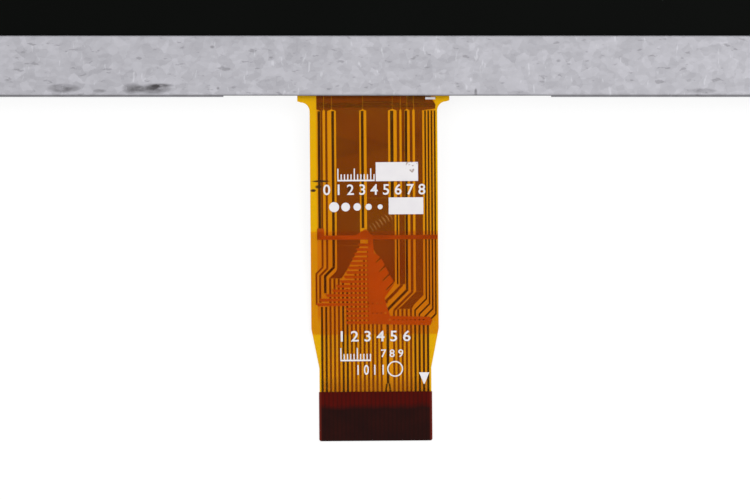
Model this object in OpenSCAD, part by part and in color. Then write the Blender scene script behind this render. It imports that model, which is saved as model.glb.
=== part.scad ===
// Seven-inch class TFT display module, lying on its back.
// +X right, +Y away from the flexible tail, +Z out of the screen.
// The origin is the centre of the module's rear face.

/* [Module] */
// Outside width of the module
module_w = 165; // [150:1:180]
// Outside height of the module
module_h = 104; // [96:1:116]
// Outside thickness of the module
module_t = 6; // [6:0.1:7]

/* [Screen] */
// Bezel strip on each side of the window
window_side = 4; // [3.8:0.1:6]
// Bezel strip below the window, on the side of the tail
window_bottom = 11.5; // [11:0.1:14]
// Bezel strip above the window
window_top = 3.1; // [3:0.1:4]

/* [Sheet metal] */
// Thickness of the front bezel's sheet
bezel_sheet = 0.4; // [0.3:0.05:0.5]
// Inside bend radius of the bezel
bezel_bend = 0.35; // [0.2:0.05:0.6]
// Height of the bezel flanges, from the front face
flange_depth = 4.8; // [4.5:0.1:5.2]
// Chamfer pressed on the window's front edge
window_chamfer = 0.2; // [0.1:0.05:0.25]
// Length of the relief notch at each bezel corner
corner_relief = 1.6; // [1.2:0.1:2.5]
// Thickness of the rear cover's sheet
cover_sheet = 0.4; // [0.3:0.05:0.4]
// Height of the rear cover's folded edges
cover_edge = 2.4; // [1.6:0.1:2.8]
// Diameter of the rear cover's locating holes
locating_hole_d = 3; // [2:0.1:4]

/* [Snap hooks] */
// Hooks on each long side
long_side_hooks = 4; // [2:1:5]
// Hooks on each short side
short_side_hooks = 3; // [2:1:4]
// Length of each hook along its side
hook_len = 5; // [4:0.5:8]
// Clearance of each hook in its slot
hook_play = 0.3; // [0.2:0.05:0.5]

/* [Glass cell] */
// Thickness of each glass sheet
glass_t = 0.6; // [0.5:0.05:0.6]
// Thickness of each polariser
polarizer_t = 0.2; // [0.15:0.01:0.2]
// Width of the bonding ledge on the rear glass
ledge_w = 8.8; // [8:0.1:9.2]
// Thickness of the driver chips
chip_t = 0.4; // [0.3:0.05:0.5]

/* [Backlight] */
// Thickness of the light guide
guide_t = 2; // [1.5:0.1:2]
// Thickness of each optical film
film_sheet_t = 0.15; // [0.1:0.01:0.15]
// Thickness of the reflector sheet
reflector_t = 0.2; // [0.15:0.01:0.25]
// Number of LEDs
led_count = 24; // [18:1:28]
// Length of one LED
led_len = 3.5; // [2.5:0.1:4]

/* [Flexible tail] */
// Number of ways
ways = 26; // [26]
// Pitch of the contacts
pitch = 0.8; // [0.78:0.01:0.81]
// Length of the tail outside the bezel
tail_len = 65.2; // [62:0.1:70]
// Width of the plug-in end
tail_w = 21.4; // [21.4:0.1:21.8]
// Width of the neck
neck_w = 24.1; // [24:0.1:25]
// Width of the root, where it leaves the bezel
root_w = 28.7; // [28:0.1:30]
// Fillet between root and neck
root_fillet = 1.7; // [1:0.1:2]
// Length of the stiffener
stiffener_len = 9.3; // [8:0.1:10]
// Length of the bare contacts
contact_len = 6.4; // [5:0.1:7]
// Thickness of the base film
base_film_t = 0.05; // [0.03:0.005:0.06]
// Thickness of each copper layer
copper_t = 0.035; // [0.02:0.005:0.04]
// Thickness of each coverlay
coverlay_t = 0.05; // [0.03:0.005:0.06]
// Thickness of the plug-in end over the contacts
plug_t = 0.3; // [0.25:0.01:0.35]
// Height of the tail's end above the table
tip_lift = 0.12; // [0.1:0.01:0.3]
// Angle at which the tail is bonded, seen from the front
tail_skew = 0.44; // [-0.5:0.01:0.5]
// Sideways place of the tail's root
tail_x = -0.43; // [-1:0.01:1]

/* [Hidden] */
$fn = 48;

// Clearances
slip = 0.1;          // between nested sheet-metal and moulded parts
sheet_play = 0.3;    // round the optical films and the light guide
bond_t = 0.03;       // thickness of the conductive bonding tape
glass_play = 0.3;    // between the glass and the tail's coverlay
eps = 0.01;

// Levels, from the rear face up
cover_top = cover_sheet;
reflector_top = cover_top + reflector_t;
guide_top = reflector_top + guide_t;
films_top = guide_top + 4 * film_sheet_t;
shelf_t = 0.6;
shelf_top = films_top + shelf_t;
rim_tape_t = 0.1;
tft_bottom = shelf_top + rim_tape_t;
tft_top = tft_bottom + glass_t;
cf_top = tft_top + glass_t;
polarizer_top = cf_top + polarizer_t;
bezel_inner = module_t - bezel_sheet;

// Window, [x0, y0, x1, y1]
window = [-module_w / 2 + window_side, -module_h / 2 + window_bottom,
          module_w / 2 - window_side, module_h / 2 - window_top];

// Footprints, all [x0, y0, x1, y1]
function grow(r, d) = [r[0] - d, r[1] - d, r[2] + d, r[3] + d];
outline = [-module_w / 2, -module_h / 2, module_w / 2, module_h / 2];
bezel_inside = grow(outline, -bezel_sheet);
cover_outline = grow(bezel_inside, -slip);
frame_outline = grow(cover_outline, -cover_sheet - slip);
frame_wall = 0.6;
cell_bay = grow(frame_outline, -frame_wall);
tft_plate = grow(cell_bay, -slip * 2);
cf_plate = [tft_plate[0] + 0.4, tft_plate[1] + ledge_w, tft_plate[2] - 0.4, tft_plate[3]];
polarizer_plate = [window[0] - 0.9, window[1] - 0.6, window[2] + 0.9, window[3] + 0.5];
cushion_inset = 0.2;
shelf_opening = grow(window, -0.9);
led_bay_h = 3.4;
guide_bay = [window[0] - 0.7, window[1] - 5.4, window[2] + 0.7, window[3] + 0.6];
guide_plate = grow(guide_bay, -sheet_play);
film_plate = grow(guide_plate, -sheet_play);
led_bay = [guide_bay[0] + 1, guide_bay[1] - led_bay_h, guide_bay[2] - 1, guide_bay[1]];

module plate(r, z0, t) {
    translate([r[0], r[1], z0]) cube([r[2] - r[0], r[3] - r[1], t]);
}

module ring_plate(outer, inner, z0, t) {
    difference() {
        plate(outer, z0, t);
        plate(inner, z0 - eps, t + 2 * eps);
    }
}

// Places children on each of the four sides: x along the side, y outward
module on_sides(r) {
    cx = (r[0] + r[2]) / 2;
    cy = (r[1] + r[3]) / 2;
    translate([cx, r[1], 0]) rotate([0, 0, 180]) children(0);
    translate([cx, r[3], 0]) children(0);
    translate([r[0], cy, 0]) rotate([0, 0, 90]) children(1);
    translate([r[2], cy, 0]) rotate([0, 0, -90]) children(1);
}

// Section of a folded edge: a lead-in strip, the bend and the flange.
// x is outward from the fold's outer face, y is height above the sheet's outer face
module folded_section(sheet, bend, depth) {
    outer = bend + sheet;
    translate([-outer - sheet, -sheet]) square([sheet * 1.5, sheet]);
    intersection() {
        translate([-outer, -outer]) difference() {
            circle(r = outer);
            circle(r = bend);
        }
        translate([-outer, -outer]) square(outer);
    }
    translate([-sheet, -depth]) square([sheet, depth - outer]);
}

// A folded edge of a length, centred on x, with its outer face on y = 0
module folded_edge(length, sheet, bend, depth) {
    translate([-length / 2, 0, 0]) rotate([90, 0, 90])
        linear_extrude(height = length) folded_section(sheet, bend, depth);
}

// Places children at n evenly spaced places along x
module spread(n, length) {
    for (i = [0:n - 1]) translate([(i + 0.5) * length / n - length / 2, 0, 0]) children();
}

// Snap hooks of the moulded frame and their slots in the bezel's flanges
hook_z0 = cover_edge + 0.9;
hook_h = 0.9;
hook_reach = bezel_sheet + slip * 2 + cover_sheet;

module hook_slots() {
    slot = [hook_len + 2 * hook_play, 4 * bezel_sheet, hook_h + 2 * hook_play];
    on_sides(outline) {
        spread(long_side_hooks, module_w) translate([-slot[0] / 2, -slot[1] / 2, hook_z0 - hook_play])
            cube(slot);
        spread(short_side_hooks, module_h) translate([-slot[0] / 2, -slot[1] / 2, hook_z0 - hook_play])
            cube(slot);
    }
}

// A hook is a wedge with a flat underside, so the bezel snaps on from the front
module hook() {
    translate([-hook_len / 2, 0, hook_z0]) rotate([90, 0, 90]) linear_extrude(height = hook_len)
        polygon([[-frame_wall / 2, 0], [hook_reach, 0], [hook_reach, hook_h * 0.35],
                 [cover_sheet, hook_h], [-frame_wall / 2, hook_h]]);
}

module hooks() {
    difference() {
        on_sides(frame_outline) {
            spread(long_side_hooks, module_w) hook();
            spread(short_side_hooks, module_h) hook();
        }
        flange_gap_box(frame_outline[1]);
    }
}

// The bezel's bottom flange is left away where the tail comes out
flange_gap = [-28.3, 33.6];
gap_trim = 0.2;
module flange_gap_box(y_top) {
    translate([tail_x + flange_gap[0], outline[1] - 1, -1])
        cube([flange_gap[1] - flange_gap[0], 1 + y_top - outline[1], module_t - bezel_sheet - bezel_bend + 1]);
}

module front_bezel() {
    fold = bezel_bend + bezel_sheet;
    color("silver") difference() {
        union() {
            ring_plate(grow(outline, -fold), window, bezel_inner, bezel_sheet);
            translate([0, 0, module_t]) on_sides(outline) {
                folded_edge(module_w - 2 * corner_relief, bezel_sheet, bezel_bend, flange_depth);
                folded_edge(module_h - 2 * corner_relief, bezel_sheet, bezel_bend, flange_depth);
            }
        }
        flange_gap_box(bezel_inside[1] + eps);
        translate([tail_x + flange_gap[0], outline[1] - 1, 0])
            cube([flange_gap[1] - flange_gap[0], 1 + gap_trim, module_t + 1]);
        hook_slots();
        window_bevel();
    }
}

// Cuts the 45 degree chamfer round the window's front edge
module window_bevel() {
    c = window_chamfer;
    w = window[2] - window[0] + 2 * c;
    h = window[3] - window[1] + 2 * c;
    on_sides(window) {
        translate([-w / 2, 0, module_t]) rotate([90, 0, 90]) linear_extrude(height = w)
            polygon([[-c, -c], [0, -c], [c + eps, eps], [-c, eps]]);
        translate([-h / 2, 0, module_t]) rotate([90, 0, 90]) linear_extrude(height = h)
            polygon([[-c, -c], [0, -c], [c + eps, eps], [-c, eps]]);
    }
}

// Foam strips between the cell and the bezel, one along each side of the window
module bezel_cushion() {
    outer = grow(polarizer_plate, -cushion_inset / 2);
    color("dimgray") ring_plate(outer, grow(window, cushion_inset / 2), polarizer_top,
                                bezel_inner - polarizer_top);
}

module front_polarizer() {
    color([0.06, 0.07, 0.06]) plate(polarizer_plate, cf_top, polarizer_t);
}

module colour_filter_glass() {
    color([0.25, 0.3, 0.3]) plate(cf_plate, tft_top, glass_t);
}

// Rear glass, with one cut corner as an orientation mark on the ledge
module tft_glass() {
    cut = 2;
    color([0.35, 0.42, 0.4]) difference() {
        plate(tft_plate, tft_bottom, glass_t);
        translate([tft_plate[0], tft_plate[1], tft_bottom - eps]) linear_extrude(height = glass_t + 2 * eps)
            polygon([[-eps, -eps], [cut, -eps], [-eps, cut]]);
    }
}

module rear_polarizer() {
    color([0.1, 0.1, 0.12]) plate(grow(shelf_opening, -sheet_play), tft_bottom - polarizer_t, polarizer_t);
}

// Driver chips stand on the ledge between the front glass and the tail's bond
chip_y = cf_plate[1] - 2.6;
source_chip = [20, 1.6];
source_chip_x = 40;
gate_chip = [15, 1.5];
module chip(x, length, width) {
    translate([x - length / 2, chip_y - width / 2, tft_top]) cube([length, width, chip_t]);
}

module source_driver_chips() {
    color("darkslategray") for (side = [-1, 1]) chip(side * source_chip_x, source_chip[0], source_chip[1]);
}

module gate_driver_chip() {
    color("darkslategray") chip(0, gate_chip[0], gate_chip[1]);
}

// Moulded frame: outer wall, shelf under the cell, bay for the light guide and the LEDs
tail_gap_w = root_w + 3;
module mould_frame() {
    wall_top = tft_top + 0.7;
    foot_top = cover_top + bezel_bend;      // the wall clears the inside of the cover's folds
    color("whitesmoke") difference() {
        union() {
            ring_plate(frame_outline, cell_bay, foot_top, wall_top - foot_top);
            ring_plate(grow(frame_outline, -frame_wall / 2), shelf_opening, cover_top, shelf_top - cover_top);
            hooks();
        }
        plate(guide_bay, cover_top - eps, films_top - cover_top + eps);
        plate(led_bay, cover_top - eps, films_top - cover_top + eps);
        translate([tail_x - tail_gap_w / 2, frame_outline[1] - 1, tft_bottom])
            cube([tail_gap_w, 1 + frame_wall * 2, module_t]);
    }
}

module rim_tape() {
    color("black") ring_plate(grow(cell_bay, -sheet_play), grow(shelf_opening, sheet_play), shelf_top, rim_tape_t);
}

// One of the four optical films that lie on the light guide, counted from the guide
module optical_film(level) {
    plate(film_plate, guide_top + level * film_sheet_t, film_sheet_t);
}

module lower_diffuser() { color("ghostwhite") optical_film(0); }
module lower_prism_sheet() { color("lightcyan") optical_film(1); }
module upper_prism_sheet() { color("azure") optical_film(2); }
module upper_diffuser() { color("white") optical_film(3); }

// Light guide with a shallow notch in front of each LED
module light_guide() {
    notch_r = 0.5;
    color([0.8, 0.9, 0.95]) difference() {
        plate(guide_plate, reflector_top, guide_t);
        translate([0, guide_plate[1] - 0.3, reflector_top - eps])
            spread(led_count, led_bay[2] - led_bay[0] - 2) cylinder(r = notch_r, h = guide_t + 2 * eps);
    }
}

module reflector_sheet() {
    color("white") plate(film_plate, cover_top, reflector_t);
}

led_strip = [led_bay[0] + 0.3, led_bay[1] + 0.3, led_bay[2] - 0.3, guide_bay[1]];
led_strip_t = 0.2;
module led_board() {
    color("gold") plate(led_strip, cover_top, led_strip_t);
}

// Side-firing LEDs: a white body with a stepped lens recess towards the light guide
led_depth = 1.2;
led_h = 1.6;
module leds() {
    lens = [led_len - 0.6, 0.25, led_h - 0.5];
    color("lemonchiffon") translate([0, guide_plate[1] - led_depth - slip, cover_top + led_strip_t])
        spread(led_count, led_bay[2] - led_bay[0] - 2) difference() {
            translate([-led_len / 2, 0, 0]) cube([led_len, led_depth, led_h]);
            translate([-lens[0] / 2, led_depth - lens[1], 0.25]) cube([lens[0], lens[1] + eps, lens[2]]);
        }
}

// Rear cover: flat sheet with folded edges, locating holes near its corners
module rear_cover() {
    fold = bezel_bend + cover_sheet;
    color("lightgray") difference() {
        union() {
            plate(grow(cover_outline, -fold), 0, cover_sheet);
            mirror([0, 0, 1]) on_sides(cover_outline) {
                folded_edge(cover_outline[2] - cover_outline[0] - 2 * corner_relief, cover_sheet,
                            bezel_bend, cover_edge);
                folded_edge(cover_outline[3] - cover_outline[1] - 2 * corner_relief, cover_sheet,
                            bezel_bend, cover_edge);
            }
        }
        for (x = [-1, 1], y = [-1, 1])
            translate([x * (module_w / 2 - 12), y * (module_h / 2 - 12), -eps])
                cylinder(d = locating_hole_d, h = cover_sheet + 2 * eps);
    }
}

// ---- Flexible tail ----
// A point of the tail is [x, s, h]: x across, s along it from the bezel's edge, h outward from
// the rear face of the base film.

// Heights of the tail's layers
copper_bottom = -copper_t;
coverlay_bottom = copper_bottom - coverlay_t;
film_front = base_film_t;
jumper_front = film_front + copper_t;
patch_front = jumper_front + coverlay_t;
stiffener_t = plug_t - copper_t - base_film_t;
ink_t = 0.02;

root_h = tft_top + bond_t + copper_t;       // the film's rear face on the ledge
bond_len = 1.6;
root_s = -(tft_plate[1] - outline[1]) - bond_len;
bond_end_s = root_s + bond_len;

// The tail leaves level, bends down, runs straight at a slope and bends level again
bend_len = 10;
bend_1 = 2;
bend_2 = tail_len - stiffener_len - bend_len;
slope_start = bend_1 + bend_len;
slope_len = bend_2 - slope_start;
bend_steps = 4;

// Drop of the tail for a slope of a degrees: two arcs of bend_len and the straight between them
function bend_radius(a) = bend_len / (a * PI / 180);
function tail_drop(a) = 2 * bend_radius(a) * (1 - cos(a)) + slope_len * sin(a);
function find_slope(lo, hi, steps) = let (mid = (lo + hi) / 2) steps == 0 ? mid :
    tail_drop(mid) > root_h - tip_lift ? find_slope(lo, mid, steps - 1) : find_slope(mid, hi, steps - 1);
slope = find_slope(0.1, 30, 40);
bend_r = bend_radius(slope);

// Angle, distance and drop of the film's rear face at s
function angle_at(s) = s <= bend_1 ? 0
    : s <= slope_start ? slope * (s - bend_1) / bend_len
    : s <= bend_2 ? slope
    : s <= bend_2 + bend_len ? slope * (1 - (s - bend_2) / bend_len) : 0;
function reach_at(s) = s <= bend_1 ? s
    : s <= slope_start ? bend_1 + bend_r * sin(angle_at(s))
    : s <= bend_2 ? reach_at(slope_start) + (s - slope_start) * cos(slope)
    : s <= bend_2 + bend_len ? reach_at(bend_2) + bend_r * (sin(slope) - sin(angle_at(s)))
    : reach_at(bend_2 + bend_len) + s - bend_2 - bend_len;
function drop_at(s) = s <= bend_1 ? 0
    : s <= slope_start ? bend_r * (1 - cos(angle_at(s)))
    : s <= bend_2 ? drop_at(slope_start) + (s - slope_start) * sin(slope)
    : s <= bend_2 + bend_len ? drop_at(bend_2) + bend_r * (cos(angle_at(s)) - cos(slope))
    : drop_at(bend_2 + bend_len);
function on_curve(x, s, h) =
    [x, -reach_at(s) - h * sin(angle_at(s)), root_h - drop_at(s) + h * cos(angle_at(s))];

// Each bend is made of bend_steps flat facets, the same for every layer, so that they lie on each other
facet_len = bend_len / bend_steps;
function on_facet(p, h, bend) = let (s0 = bend + floor((p[1] - bend) / facet_len) * facet_len,
    f = (p[1] - s0) / facet_len) (1 - f) * on_curve(p[0], s0, h) + f * on_curve(p[0], s0 + facet_len, h);
function on_tail(p, h) = p[1] > bend_1 && p[1] < slope_start ? on_facet(p, h, bend_1)
    : p[1] > bend_2 && p[1] < bend_2 + bend_len ? on_facet(p, h, bend_2)
    : on_curve(p[0], p[1], h);

// Stations at which every layer of the tail has an edge, so that all layers lie on each other
bend_stations = [for (bend = [bend_1, bend_2], k = [0:bend_steps]) bend + k * facet_len];

// Puts the tail at its place and angle on the module
module on_module() {
    translate([tail_x, outline[1], 0]) rotate([0, 0, tail_skew]) children();
}

// A closed strip from rows of two points each, left and right, between two heights
module strip(rows, h0, h1) {
    n = len(rows);
    points = [for (r = rows) each [on_tail(r[0], h0), on_tail(r[1], h0), on_tail(r[1], h1), on_tail(r[0], h1)]];
    sides = [for (i = [0:n - 2], k = [0:3])
        let (a = 4 * i + k, b = 4 * i + (k + 1) % 4) [a, a + 4, b + 4, b]];
    polyhedron(points, concat([[0, 1, 2, 3]], sides, [[4 * n - 1, 4 * n - 2, 4 * n - 3, 4 * n - 4]]));
}

// The rows [x0, x1, s] of an outline, with a row added at each bend station between them
function row_between(a, b, s) = let (f = (s - a[2]) / (b[2] - a[2]))
    [a[0] + f * (b[0] - a[0]), a[1] + f * (b[1] - a[1]), s];
function with_bends(rows) = concat([for (i = [0:len(rows) - 2]) each concat([rows[i]],
    [for (s = bend_stations) if (s > rows[i][2] + eps && s < rows[i + 1][2] - eps)
        row_between(rows[i], rows[i + 1], s)])], [rows[len(rows) - 1]]);
module panel(rows, h0, h1) {
    strip([for (r = with_bends(rows)) [[r[0], r[2]], [r[1], r[2]]]], h0, h1);
}

// A straight band of copper or film from s0 to s1
module band(x0, x1, s0, s1, h0, h1) {
    panel([[x0, x1, s0], [x0, x1, s1]], h0, h1);
}

// A trace of a width along a centre line of [x, s] points, mitred at its corners.
// Points lie at rising s, so a cut across the trace at any point is a row.
function heading(a, b) = let (d = b - a) d / norm(d);
function mitre(path, i) =
    let (last = len(path) - 1,
         t0 = heading(path[max(i - 1, 0)], path[max(i, 1)]),
         t1 = heading(path[min(i, last - 1)], path[min(i + 1, last)]),
         m = (t0 + t1) / norm(t0 + t1))
    [m[1], -m[0]] / (m * t1);
function cross_cut(a, b, s, w) = let (f = (s - a[1]) / (b[1] - a[1]), t = heading(a, b),
    x = a[0] + f * (b[0] - a[0]), reach = w / 2 / t[1]) [[x - reach, s], [x + reach, s]];
module trace(path, w, h0, h1) {
    n = len(path);
    rows = [for (i = [0:n - 1]) each concat(
        [[path[i] - mitre(path, i) * w / 2, path[i] + mitre(path, i) * w / 2]],
        i == n - 1 ? [] : [for (s = bend_stations) if (s > path[i][1] + w && s < path[i + 1][1] - w)
            cross_cut(path[i], path[i + 1], s, w)])];
    strip(rows, h0, h1);
}

// Outline of the film: flared root, concave fillets, neck, taper and plug-in end
flare_s = 0.75;
flare_run = 0.2;
fillet_s = flare_s + flare_run;
neck_s = fillet_s + root_fillet;
taper_end = bend_2 + bend_len / 2 + 0.5;
taper_start = taper_end - 7.5;
stiffener_overlap = 0.12;
corner_r = 0.4;
film_end_w = tail_w - 2 * stiffener_overlap;
arc_steps = 6;

function half_width(s) = s <= flare_s ? root_w / 2
    : s <= fillet_s ? root_w / 2 + (s - flare_s) / flare_run * ((neck_w - root_w) / 2 + root_fillet)
    : s <= neck_s ? neck_w / 2 + root_fillet - sqrt(max(0, pow(root_fillet, 2) - pow(neck_s - s, 2)))
    : s <= taper_start ? neck_w / 2
    : s <= taper_end ? neck_w / 2 + (film_end_w - neck_w) / 2 * (s - taper_start) / (taper_end - taper_start)
    : film_end_w / 2;
film_breaks = concat([flare_s], [for (k = [0:arc_steps]) fillet_s + root_fillet * (1 - cos(90 * k / arc_steps))],
                     [taper_start, taper_end]);
function film_rows(s0, s1) = concat([[-half_width(s0), half_width(s0), s0]],
    [for (s = film_breaks) if (s > s0 && s < s1) [-half_width(s), half_width(s), s]],
    [[-half_width(s1), half_width(s1), s1]]);
// The plug-in end with its two rounded corners
function end_rows(half, s0) = concat([[-half, half, s0]], [for (k = [0:arc_steps])
    let (a = 90 * k / arc_steps) [-half + corner_r * (1 - cos(a)), half - corner_r * (1 - cos(a)),
                                  tail_len - corner_r * (1 - sin(a))]]);
contact_start = tail_len - contact_len;
stiffener_s = tail_len - stiffener_len;

module flex_base_film() {
    color([0.9, 0.65, 0.1]) on_module()
        panel(concat(film_rows(root_s, stiffener_s), end_rows(film_end_w / 2, stiffener_s + 1)), 0, film_front);
}

module flex_rear_coverlay() {
    color([0.95, 0.7, 0.15]) on_module()
        panel(film_rows(bond_end_s + glass_play, contact_start), coverlay_bottom, copper_bottom);
}

module flex_front_coverlay() {
    color([0.9, 0.5, 0.1, 0.6]) on_module()
        panel(film_rows(field_top + 0.4, taper_start + 1.1), jumper_front, patch_front);
}

module flex_stiffener() {
    color([0.25, 0.08, 0.06]) on_module()
        panel(end_rows(tail_w / 2, stiffener_s), film_front, film_front + stiffener_t);
}

module flex_bond_tape() {
    color([0.7, 0.6, 0.5]) on_module()
        band(-root_w / 2 + 0.6, root_w / 2 - 0.6, root_s, root_s + bond_len - slip, copper_bottom - bond_t, copper_bottom);
}

// ---- Rear copper: 26 ways ----
// Places in the copper pattern are [x, t], with t along the tail from the crossover field's top.
trace_w = 0.4;
finger_w = 0.5;
hair = 0.03;                      // gap between touching stretches of copper
bus_end = 2.6;                    // below the root the copper opens into separate strips
bus_edges = [-10.75, 10.85];      // sideways reach of the copper at the root
bus_flare = 0.85;                 // the right edge steps out by this much below the root
finger_end = tail_len - 0.5;
field_len = 18.3;
field_margin = 0.55;
field_top = taper_start - field_len - field_margin;
function way_x(i) = (i - (ways - 1) / 2) * pitch;
function along(path) = [for (p = path) [p[0], p[1] + field_top]];

// Strips of the upper zone: [x0, x1, t of the lower end], from left to right
signal_strips = [[-10, -9.62, 7.1], [-9.13, -8.72, 7.3], [-7.07, -2.68, 3.1], [-1.34, 2.74, -5.9],
                 [4.38, 4.89, -5.9], [5.3, 5.85, -5.9], [6.83, 7.34, 11.7], [7.8, 9.2, 11.9]];
power_strips = [[-10.55, -10.05, 0], [-7.95, -7.45, 7.1], [-2.38, -1.87, -0.2],
                [3.15, 3.75, -5.9], [5.9, 6.35, 11.5]];

// A strip widens at the root until it almost meets its neighbours
module root_strip(i) {
    here = signal_strips[i];
    last = len(signal_strips) - 1;
    left = i == 0 ? bus_edges[0] : (signal_strips[i - 1][1] + here[0]) / 2 + hair;
    right = i == last ? bus_edges[1] : (here[1] + signal_strips[i + 1][0]) / 2 - hair;
    flare = i == last ? bus_flare : 0;
    panel([[left, right, root_s + slip], [left, right, 0.2], [left, right + flare, 0.2 + bus_flare * 1.5],
           [left, right + flare, bus_end - 0.3], [here[0], here[1], bus_end],
           [here[0], here[1], here[2] + field_top - hair]], copper_bottom, 0);
}

module rear_trace(path, w) { trace(along(path), w, copper_bottom, 0); }
module rear_plane(rows) {
    panel([for (r = rows) [r[0], r[1], r[2] + field_top]], copper_bottom, 0);
}

// The stretch of one way at x, from s0 along the tail down to its contact finger
module contact_end(x, s0) {
    panel([[x - trace_w / 2, x + trace_w / 2, s0], [x - trace_w / 2, x + trace_w / 2, contact_start],
           [x - finger_w / 2, x + finger_w / 2, contact_start + 0.2],
           [x - finger_w / 2, x + finger_w / 2, finger_end]], copper_bottom, 0);
}
module contact_way(i, t0) { contact_end(way_x(i), t0 + field_top); }

// A path from a strip's lower end: down to t0, at 45 degrees to x1, and on down to t1
function jog(x0, x1, top, t0, t1) = [[x0, top], [x0, t0], [x1, t0 + abs(x1 - x0)], [x1, t1]];

// Left edge of the crossover's triangular field, as x over t
tree_left = [[1.1, -2.2], [9.4, -5.95], [12.1, -8.3], [14, -11.1]];
// Ways that end in the field, with the place along the tail where each one starts
// (the last one starts beside the right supply plane)
function field_start(i) = i < 5 ? 9.3 + hair : i == 5 ? 10 : max(11.3 - (i - 6) * 1.45, 3.9);
power_ways = [0, 1, 5, 6, 22, 23, 24, 25];
// 45 degree lines between the field and the right supply plane: [x, t of the lower end, sideways reach];
// all but the last show through slots in the front copper
feathers = 4;
feather_w = 0.26;
function feather(k) = [0.3 + 0.62 * k, 6.3 + 1.75 * k, 0.65 + 0.25 * k];
function is_power(i) = len(search(i, power_ways)) > 0;

module flex_signal_traces() {
    color([0.45, 0.24, 0.06]) on_module() {
        for (i = [0:len(signal_strips) - 1]) root_strip(i);
        // two thin strips on the left jog outward round the field
        rear_trace(jog(-9.81, -11, 7.1, 7.2, 14.3), 0.36);
        rear_trace(jog(-8.92, -10.3, 7.3, 7.4, 13.9), 0.4);
        // lower end of the left supply plane, cut along the field's edge
        rear_plane([[-7.07, -2.68, 3.1], [-7.07, -5, 7.4], [-7.3, -5.4, 8], [-8.6, -6.25, 9.3]]);
        // the right supply plane widens and ends along the field's other edge
        rear_plane([[-1.34, 2.74, -5.9], [-1.34, 3.85, -5], [-1.34, 3.85, 1.7], [3.2, 3.85, 10.1]]);
        // the two middle strips join into one and leave at 45 degrees
        rear_plane([[4.75, 5.8, -5], [4.75, 5.8, 10.5]]);
        rear_trace(jog(5.1, 2.2, 10.5 + hair, 10.7, 14.1), 0.5);
        // the right strips turn at 45 degrees and fan out into five ways
        rear_trace([[7.08, 11.7], [7.08, 12], [way_x(17), 12 + 7.08 - way_x(17)]], 0.45);
        contact_way(17, 12 + 7.08 - way_x(17) + hair);
        rear_plane([[7.8, 9.2, 11.9], [7.6, 9.2, 12.1], [7.1, 9.2, 12.6], [5.3, 7.4, 14.4], [4.4, 7, 15.2]]);
        for (i = [18:21]) contact_way(i, 15.2 + hair);
        // ways under the triangular field
        for (i = [2:14]) if (!is_power(i)) contact_way(i, i > 12 ? 14.1 : field_start(i));
        for (k = [0:feathers]) let (f = feather(k))
            rear_trace([[f[0] + f[2], f[1] - f[2]], [f[0], f[1]]], feather_w);
    }
}

fork_t = stiffener_s - 1.5 - field_top;
fork_x = (way_x(15) + way_x(16)) / 2;
narrow_w = 0.3;
narrow_end = field_len - 0.3;
module flex_power_traces() {
    color([0.2, 0.09, 0.03]) on_module() {
        for (p = power_strips)
            band(p[0], p[1], bus_end + hair, p[2] + field_top - hair, copper_bottom, 0);
        rear_trace(jog(-7.7, -9.35, 7.1, 7.2, 12.1), 0.5);
        // the fourth heavy trace steps sideways below the blank blocks
        rear_trace(jog(3.45, 4.35, -5.9, -5.8, 10.5), 0.3);
        // the fifth runs to the plug-in end as one line that forks into two ways
        rear_trace(jog(6.12, fork_x, 11.5, 11.6, fork_t), 0.5);
        for (side = [-1, 1]) {
            x = fork_x + side * pitch / 2;
            rear_trace([[fork_x + side * 0.24, fork_t + hair], [x, fork_t + 1.1]], 0.34);
            contact_end(x, fork_t + 1.1 + hair + field_top);
        }
        for (i = [0, 1]) contact_way(i, 14.7);
        for (i = [5, 6]) contact_way(i, field_start(i));
        // the four narrow traces on the right step inward one below the other
        for (k = [0:3]) let (i = 22 + k, x = 9.75 + 0.6 * k, t = 13.3 + 0.95 * k) {
            rear_trace(jog(x, way_x(i), bus_end + hair - field_top, t, narrow_end), narrow_w);
            contact_way(i, narrow_end + hair);
        }
    }
}

// ---- Front copper: the crossover field ----
// Lines across the tail at one pitch, joined on the right to a common plane
line_pitch = 0.868;
line_w = 0.56;
field_lines = 18;
band_t = [1.15, 1.95];
first_line_t = 2.7;
slot_w = 0.36;
spine_x = -1.2;
lower_band_t = 14.95;
tree_right = [[1.95, -0.3], [4.5, -0.1], [5.3, 1.2], [8.8, 2.9], [10.2, 3.8], [10.9, 3.4], [13, 1.9],
              [14.2, 2.1], [16.5, 2.9]];
via_d = 0.3;
// Rows of plated holes through the lower bands: [t, first way, last way]
via_rows = [[17.25, 16, 24], [15.95, 12, 15], [14.1, 11, 14]];

// Left end of the field's line at t
function line_left(t) = t > lower_band_t ? -5.6 : lookup(t, tree_left);
function line_top(k) = first_line_t + k * line_pitch;

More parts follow.
